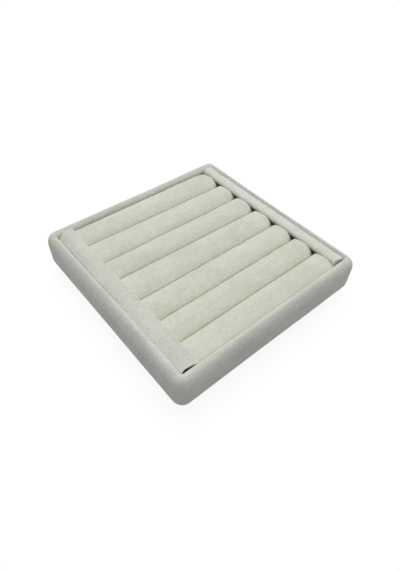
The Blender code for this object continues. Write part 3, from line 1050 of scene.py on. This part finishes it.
@dataclass
class PaddedFrame:
    """The tray's padded wall: velvet over foam, in one skin from the hem underneath to the foot inside."""

    width: float = 170.0 * MM
    corner_radius: float = 8.1 * MM
    least_radius: float = 1.5 * MM
    height: float = 34.0 * MM
    bottom: float = 0.9 * MM
    wall: float = 7.5 * MM
    crest_inset: float = 6.0 * MM
    rim_inset: float = 8.3 * MM
    rim_drop: float = 3.3 * MM
    rim_return: float = 26.0 * MM
    shoulder_drop: float = 8.5 * MM
    foot_width: float = 10.2 * MM
    foot_rise: float = 10.1 * MM
    hem: float = 12.0 * MM
    fabric: float = 0.7 * MM
    inner_foot: float = 5.2 * MM
    inner_radius: float = 0.6 * MM
    board_outer: float = 4.2 * MM
    board_top: float = 30.3 * MM
    hem_shares: tuple[float, ...] = (1.0, 0.6, 0.25)
    side_shares: tuple[float, ...] = (0.2, 0.4, 0.6, 0.8)
    return_shares: tuple[float, ...] = (0.2, 0.5, 0.8, 1.0)
    inside_shares: tuple[float, ...] = (0.75, 0.5, 0.25, 0.03, 0.0)
    lining_angles: tuple[float, ...] = (38.0, 30.0, 20.0, 10.0, 0.0)
    foot_steps: int = 9
    shoulder_steps: int = 10
    rim_steps: int = 6
    side_cuts: int = 47
    corner_segments: int = 8
    foot_holds: tuple[float, ...] = (1.0, 1.0, 1.0, 1.0, 0.95, 0.85, 0.7, 0.5, 0.3, 0.1)
    rim_holds: tuple[float, ...] = (0.2, 0.4, 0.6, 0.8)
    right_pinch: float = 1.0 * MM
    left_pinch: float = 1.7 * MM
    pinch_ends: Pair = (-15.0 * MM, 30.0 * MM)
    pinch_insets: Pair = (5.0 * MM, 6.5 * MM)
    pinch_heights: Pair = (30.4 * MM, 32.4 * MM)
    rim_reach: float = 12.0 * MM
    corner_blend: float = 1.0 * MM
    back_bulge: float = 1.2 * MM
    bulge_rise: float = 4.0 * MM
    skin_spare: float = 0.2 * MM
    top_spare: float = 0.1 * MM
    wave_lengths: Pair = (30.0 * MM, 11.0 * MM)
    wave_heights: Pair = (0.16 * MM, 0.05 * MM)
    wave_seeds: Pair = (41.0, 42.0)
    wave_insets: Pair = (7.1 * MM, 5.6 * MM)
    wave_foot: Pair = (2.0 * MM, 6.0 * MM)
    gather_height: float = 0.12 * MM
    gather_foot: Pair = (9.0 * MM, 2.0 * MM)
    gathers: float = 18.0
    hem_spare: float = 0.05 * MM
    velvet: Velvet = Velvet(
        COOL_LIGHT,
        COOL_SHADE,
        dimness=Dimness(within=79.0 * MM),
        warmth=BackWarmth(strength=0.30, below=34.2 * MM),
        # painted shade along the back rim's crest
        crest=CrestShade(amount=0.45),
    )
    swelling: Inflation = Inflation(pressure=1.0, cap=0.35 * MM)

    def skin_levels(self) -> list[tuple[float, float]]:
        """Return the skin's way over the wall, from the hem to the inside foot, as insets and heights."""
        foot_centre = self.bottom + self.foot_rise
        shoulder_centre = self.height - self.shoulder_drop
        rim_foot = self.height - self.rim_drop
        levels = [(self.foot_width + self.hem * share, self.bottom) for share in self.hem_shares]
        for angle in quarter_turn(self.foot_steps):
            inset = self.foot_width * (1 - math.sin(angle))
            levels.append((inset, foot_centre - self.foot_rise * math.cos(angle)))
        levels += [(0.0, foot_centre + (shoulder_centre - foot_centre) * share) for share in self.side_shares]
        for angle in quarter_turn(self.shoulder_steps):
            inset = self.crest_inset * (1 - math.cos(angle))
            levels.append((inset, shoulder_centre + self.shoulder_drop * math.sin(angle)))
        for angle in quarter_turn(self.rim_steps)[1:]:
            inset = self.crest_inset + (self.rim_inset - self.crest_inset) * math.sin(angle)
            levels.append((inset, self.height - self.rim_drop * (1 - math.cos(angle))))
        for share in self.return_shares:
            inset = self.rim_inset + (self.wall - self.rim_inset) * eased(share)
            levels.append((inset, rim_foot + (self.rim_return - rim_foot) * share))
        for share in self.inside_shares:
            levels.append((self.wall, self.inner_foot + (self.rim_return - self.inner_foot) * share))
        return levels

    def inside_levels(self) -> list[tuple[float, float]]:
        """Return the way back inside the skin, round the boards, to the hem."""
        lining = self.wall - self.fabric
        levels = [(lining, self.inner_foot), (lining, self.board_top)]
        levels += [(self.board_outer, self.board_top), (self.board_outer, self.inner_foot)]
        for angle in map(math.radians, self.lining_angles):
            inset = self.foot_width - (self.foot_width - self.fabric) * math.sin(angle)
            levels.append((inset, self.bottom + self.foot_rise - (self.foot_rise - self.fabric) * math.cos(angle)))
        levels.append((self.foot_width + self.hem, self.bottom + self.fabric))
        return levels

    def select_last(self, piece: bpy.types.Object, corner: tuple[int, int] | None = None) -> None:
        """Select the points of the last level, or those at one of its corners.

        Args:
            piece: The skin, in edit mode.
            corner: The signs of the corner's X and Y, or nothing for the whole level.
        """
        first = len(bmesh.from_edit_mesh(piece.data).verts) - self.ring_count()
        x, y = corner or (0, 0)
        select(
            piece,
            Part.POINT,
            lambda point: point.index >= first and (not corner or (point.co.x * x > 0 and point.co.y * y > 0)),
        )

    def raise_walls(self) -> bpy.types.Object:
        """Return the open skin, extruded level by level with each corner drawn in about its own centre."""
        levels = self.skin_levels() + self.inside_levels()
        inset, height = levels[0]
        side = self.width - 2 * inset
        piece = new_plane("padded_wall", side, height)
        with edited(piece):
            round_corners(piece, self.least_radius, self.corner_segments)
            bpy.ops.mesh.delete(type="ONLY_FACE")
        radius = self.least_radius
        centre = side / 2 - radius
        for inset, level in levels[1:]:
            least = self.least_radius if level < self.foot_rise else self.inner_radius
            new_radius = max(self.corner_radius - inset, least)
            new_centre = self.width / 2 - inset - new_radius
            factor, step = new_radius / radius, new_centre - centre
            with edited(piece):
                self.select_last(piece)
                bpy.ops.mesh.extrude_region_move(TRANSFORM_OT_translate={"value": (0.0, 0.0, level - height)})
                for x, y in ((1, 1), (-1, 1), (-1, -1), (1, -1)):
                    self.select_last(piece, (x, y))
                    bpy.ops.transform.resize(
                        value=(factor, factor, 1.0), center_override=(x * centre, y * centre, level)
                    )
                    bpy.ops.transform.translate(value=(x * step, y * step, 0.0))
            radius, centre, height = new_radius, new_centre, level
        return piece

    def ring_count(self) -> int:
        """Return how many points one level has."""
        return 4 * (self.corner_segments + 1)

    def hold(self, piece: bpy.types.Object) -> None:
        """Hold the hem, the inner wall and the way round the boards, and let the padded side and rim move."""
        group = piece.vertex_groups.new(name="held")
        ring = self.ring_count()
        firm = len(self.skin_levels()) - len(self.return_shares) - len(self.inside_shares)
        loose = firm - len(self.rim_holds) - len(self.foot_holds)
        inside = len(piece.data.vertices) // ring - firm
        holds = [*self.foot_holds, *[0.0] * loose, *self.rim_holds, *[1.0] * inside]
        for level, weight in enumerate(holds):
            group.add(list(range(level * ring, (level + 1) * ring)), weight, "REPLACE")

    def close(self, piece: bpy.types.Object) -> None:
        """Join the last level to the first and cut the long sides into short stretches."""
        with edited(piece):
            select(piece, Part.EDGE, lambda edge: edge.is_boundary)
            bpy.ops.mesh.bridge_edge_loops()
            select_edges(piece, lambda a, b: (a - b).length > self.width / 3)
            bpy.ops.mesh.subdivide(number_cuts=self.side_cuts)
        outward_and_smooth(piece)

    def fit_rim(self, places: np.ndarray) -> None:
        """Let the rim give way to the strips at both sides, and swell over the last roll at the back.

        Args:
            places: The points' places, which are moved.
        """
        inset = self.width / 2 - np.abs(places[:, :2])
        heights = places[:, 2]
        owned = ramp(inset[:, ::-1] - inset, -self.corner_blend, 0.0) * (inset < self.rim_reach)
        left_pinch = self.left_pinch * ramp(places[:, 1], *self.pinch_ends)
        pinch = np.where(places[:, 0] > 0.0, self.right_pinch, left_pinch) * ramp(heights, *self.pinch_heights)
        skin = (inset[:, 1] > self.wall - self.skin_spare) | (heights > self.board_top + self.top_spare)
        swell = ramp(inset[:, 1], self.crest_inset, self.rim_inset) * skin * (places[:, 1] > 0.0)
        swell *= ramp(heights, self.rim_return, self.rim_return + self.bulge_rise)
        places[:, 0] += np.sign(places[:, 0]) * pinch * ramp(inset[:, 0], *self.pinch_insets) * owned[:, 0]
        places[:, 1] -= self.back_bulge * swell * owned[:, 1]

    def soften(self, piece: bpy.types.Object) -> None:
        """Let the padded outside rise and fall a little, and gather the velvet where it turns under the corners."""
        places = points_of(piece)
        normals = np.empty(places.size)
        piece.data.vertices.foreach_get("normal", normals)
        normals = normals.reshape(-1, 3)
        inset = self.width / 2 - np.abs(places[:, :2]).max(axis=1)
        outside = ramp(inset, *self.wave_insets) * ramp(places[:, 2], *self.wave_foot)
        waves = np.zeros(len(places))
        for length, height, seed in zip(self.wave_lengths, self.wave_heights, self.wave_seeds):
            waves += ripple(places, length, seed) * height
        corner = np.abs(places[:, :2]) - (self.width / 2 - self.corner_radius)
        turn = np.arctan2(np.maximum(corner[:, 1], 0.0), np.maximum(corner[:, 0], TINY))
        in_corner = (corner.min(axis=1) > 0.0) * np.sin(2 * turn)
        low = ramp(places[:, 2], *self.gather_foot) * (places[:, 2] > self.bottom + self.hem_spare)
        gathered = np.cos(turn * self.gathers) * in_corner * low * self.gather_height
        facing_out = (normals[:, :2] * places[:, :2]).sum(axis=1) > 0.0
        places += normals * ((waves * outside + gathered) * facing_out)[:, None]
        self.fit_rim(places)
        put_points(piece, places)

    def build(self) -> None:
        """Build the padded wall and dress it."""
        piece = self.raise_walls()
        self.hold(piece)
        self.close(piece)
        self.swelling.apply(piece, "held")
        self.soften(piece)
        subdivide_surface(piece)
        outward_and_smooth(piece)
        piece.data.materials.append(self.velvet.material("wall_velvet", Axis.ALONG_ROLLS, 0.0))
        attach(piece, "root")
        sides = [f"wall_padding_{side}" for side in WALLS]
        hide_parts("tray_cover", *sides)
        report(piece)


@dataclass
class Underside:
    """The felt sheet that is glued over the hem, and on which the tray stands."""

    corner_radius: float = 1.5 * MM
    corner_segments: int = 6
    edge_round: float = 0.15 * MM
    edge_segments: int = 2
    sharp: float = math.radians(35.0)
    felt: Felt = Felt()

    def build(self) -> None:
        """Build the sheet and dress it."""
        low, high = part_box("bottom_sheet")
        size = high - low
        piece = new_plane("underside_felt", size.x, low.z)
        with edited(piece):
            round_corners(piece, self.corner_radius, self.corner_segments)
            bpy.ops.mesh.extrude_region_move(TRANSFORM_OT_translate={"value": (0.0, 0.0, size.z)})
            select_edges(piece, lambda a, b: abs(a.z - b.z) < SAME)
            bpy.ops.mesh.bevel(offset=self.edge_round, segments=self.edge_segments)
        outward_and_smooth(piece, self.sharp)
        piece.data.materials.append(self.felt.material("underside_felt"))
        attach(piece, "root")
        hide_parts("bottom_sheet")
        report(piece)


@dataclass(frozen=True)
class Boards:
    """The boards inside, which keep their solids and get their finish."""

    fibreboard: PressedBoard = PressedBoard((0.50, 0.37, 0.23), (0.38, 0.27, 0.16), (0.26, 0.18, 0.10), 0.75, 2.2 * MM)
    card: PressedBoard = PressedBoard((0.46, 0.45, 0.42), (0.36, 0.35, 0.33), (0.25, 0.25, 0.24), 0.8, 3.5 * MM)

    def dress(self) -> None:
        """Give each board its material."""
        wood = self.fibreboard.material("fibreboard")
        grey = self.card.material("grey_card")
        for name in ("base_board", *[f"wall_board_{side}" for side in WALLS]):
            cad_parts[name].data.materials[0] = wood
        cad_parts["insert_board"].data.materials[0] = grey
        log.info("boards dressed")


@dataclass(frozen=True)
class Lamp:
    """A soft square lamp that looks at the middle of the tray."""

    name: str
    place: Triple
    size: float
    power: float
    colour: Triple

    def light(self, target: Vector) -> None:
        """Hang the lamp, facing the target."""
        data = bpy.data.lights.new(self.name, "AREA")
        data.shape = "SQUARE"
        data.size = self.size
        data.energy = self.power
        data.color = self.colour
        lamp = add_object(self.name, data)
        lamp.location = self.place
        lamp.rotation_mode = "QUATERNION"
        lamp.rotation_quaternion = (target - Vector(self.place)).to_track_quat("-Z", "Y")


@dataclass(frozen=True)
class Eye:
    """The camera, with the photograph's angle and framing: angles in degrees, lens and sensor in millimetres."""

    azimuth: float = -41.9756
    elevation: float = 48.225
    roll: float = 2.6597
    distance: float = 0.31610
    target: Triple = (-0.015028, -0.020060, 0.017850)
    lens: float = 26.906
    sensor: float = 36.0
    nearest: float = 0.01

    def open(self) -> None:
        """Make the scene's camera."""
        turn, rise = math.radians(self.azimuth), math.radians(self.elevation)
        back = Vector((math.sin(turn) * math.cos(rise), -math.cos(turn) * math.cos(rise), math.sin(rise)))
        right = Vector((0.0, 0.0, 1.0)).cross(back).normalized()
        up = back.cross(right)
        lean = math.radians(self.roll)
        side = right * math.cos(lean) + up * math.sin(lean)
        top = up * math.cos(lean) - right * math.sin(lean)
        data = bpy.data.cameras.new("eye")
        data.lens = self.lens
        data.sensor_width = self.sensor
        data.sensor_fit = "AUTO"
        data.dof.use_dof = False
        data.clip_start = self.nearest
        camera = add_object("eye", data)
        turned = Matrix((side, top, back)).transposed().to_4x4()
        camera.matrix_world = Matrix.Translation(Vector(self.target) + back * self.distance) @ turned
        bpy.context.scene.camera = camera


@dataclass
class Studio:
    """A plain pale floor, a white room round it, a soft lamp and the camera."""

    floor_size: float = 6.0
    floor_below: float = 0.02 * MM
    floor_growth: float = 2.0
    floor_colour: Triple = (0.60, 0.60, 0.62)
    shadow_share: float = 0.14
    glow: float = 0.90
    sky_colour: Triple = (0.96, 0.97, 1.06)
    sky_strength: float = 0.33
    white: Triple = (1.0, 1.0, 1.0)
    lamp: Lamp = Lamp("overhead", place=(0.56, 0.68, 2.20), size=2.2, power=44.6, colour=(1.0, 0.995, 0.945))
    eye: Eye = Eye()

    def seen(self, bench: NodeBench) -> Term:
        """Return 1 for a ray from the camera, a reflection or glass, and 0 for any other."""
        path = bench.node("ShaderNodeLightPath", {}, {})
        camera, glossy, through = (
            Term(bench, path.outputs[f"Is {kind} Ray"]) for kind in ("Camera", "Glossy", "Transmission")
        )
        return camera.most(glossy).most(through)

    def floor_finish(self) -> bpy.types.Material:
        """Make the floor: white to the eye but for the tray's shadow, pale for the light, and clear from below."""
        bench = NodeBench(bpy.data.materials.new("pale_floor"))
        pale = bench.node("ShaderNodeBsdfDiffuse", {}, {"Color": (*self.floor_colour, 1.0)})
        shaded = bench.node("ShaderNodeBsdfDiffuse", {}, {"Color": (*[self.shadow_share] * 3, 1.0)})
        glow = bench.node("ShaderNodeEmission", {}, {"Color": (*self.white, 1.0), "Strength": self.glow})
        white = bench.node("ShaderNodeAddShader", {}, {0: shaded.outputs[0], 1: glow.outputs[0]})
        seen = self.seen(bench)
        body = bench.node("ShaderNodeMixShader", {}, {0: seen, 1: pale.outputs[0], 2: white.outputs[0]})
        below = Term(bench, bench.node("ShaderNodeNewGeometry", {}, {}).outputs["Backfacing"]) * seen
        clear = bench.node("ShaderNodeBsdfTransparent", {}, {})
        return bench.close(
            bench.node("ShaderNodeMixShader", {}, {0: below, 1: body.outputs[0], 2: clear.outputs[0]})
        )

    def floor(self) -> None:
        """Lay the floor under the tray: a plane, carried outwards all round."""
        growth = self.floor_growth
        piece = new_plane("floor", self.floor_size / growth, -self.floor_below)
        with edited(piece):
            select_edges(piece, lambda a, b: True)
            bpy.ops.mesh.extrude_edges_move()
            bpy.ops.transform.resize(value=(growth, growth, 1.0), center_override=(0.0, 0.0, 0.0))
        piece.data.materials.append(self.floor_finish())

    def sky(self) -> None:
        """Make the room: white to the eye, and a dimmer soft light all round."""
        world = bpy.data.worlds.new("room")
        bpy.context.scene.world = world
        bench = NodeBench(world)
        white, soft = (
            bench.node("ShaderNodeBackground", {}, {"Color": (*colour, 1.0), "Strength": strength})
            for colour, strength in ((self.white, 1.0), (self.sky_colour, self.sky_strength))
        )
        inputs = {0: self.seen(bench), 1: soft.outputs[0], 2: white.outputs[0]}
        bench.close(bench.node("ShaderNodeMixShader", {}, inputs))

    def build(self) -> None:
        """Set up the studio."""
        bpy.context.scene.view_settings.view_transform = "Standard"
        self.floor()
        self.sky()
        self.lamp.light(Vector(self.eye.target))
        self.eye.open()
        log.info("studio ready")


def main() -> None:
    """Build the tray and its studio in order."""
    logging.basicConfig(level=logging.INFO, format="%(message)s")
    PaddedFrame().build()
    RingRolls().build()
    EndStrips().build()
    Underside().build()
    Boards().dress()
    Studio().build()


if __name__ == "__main__":
    main()
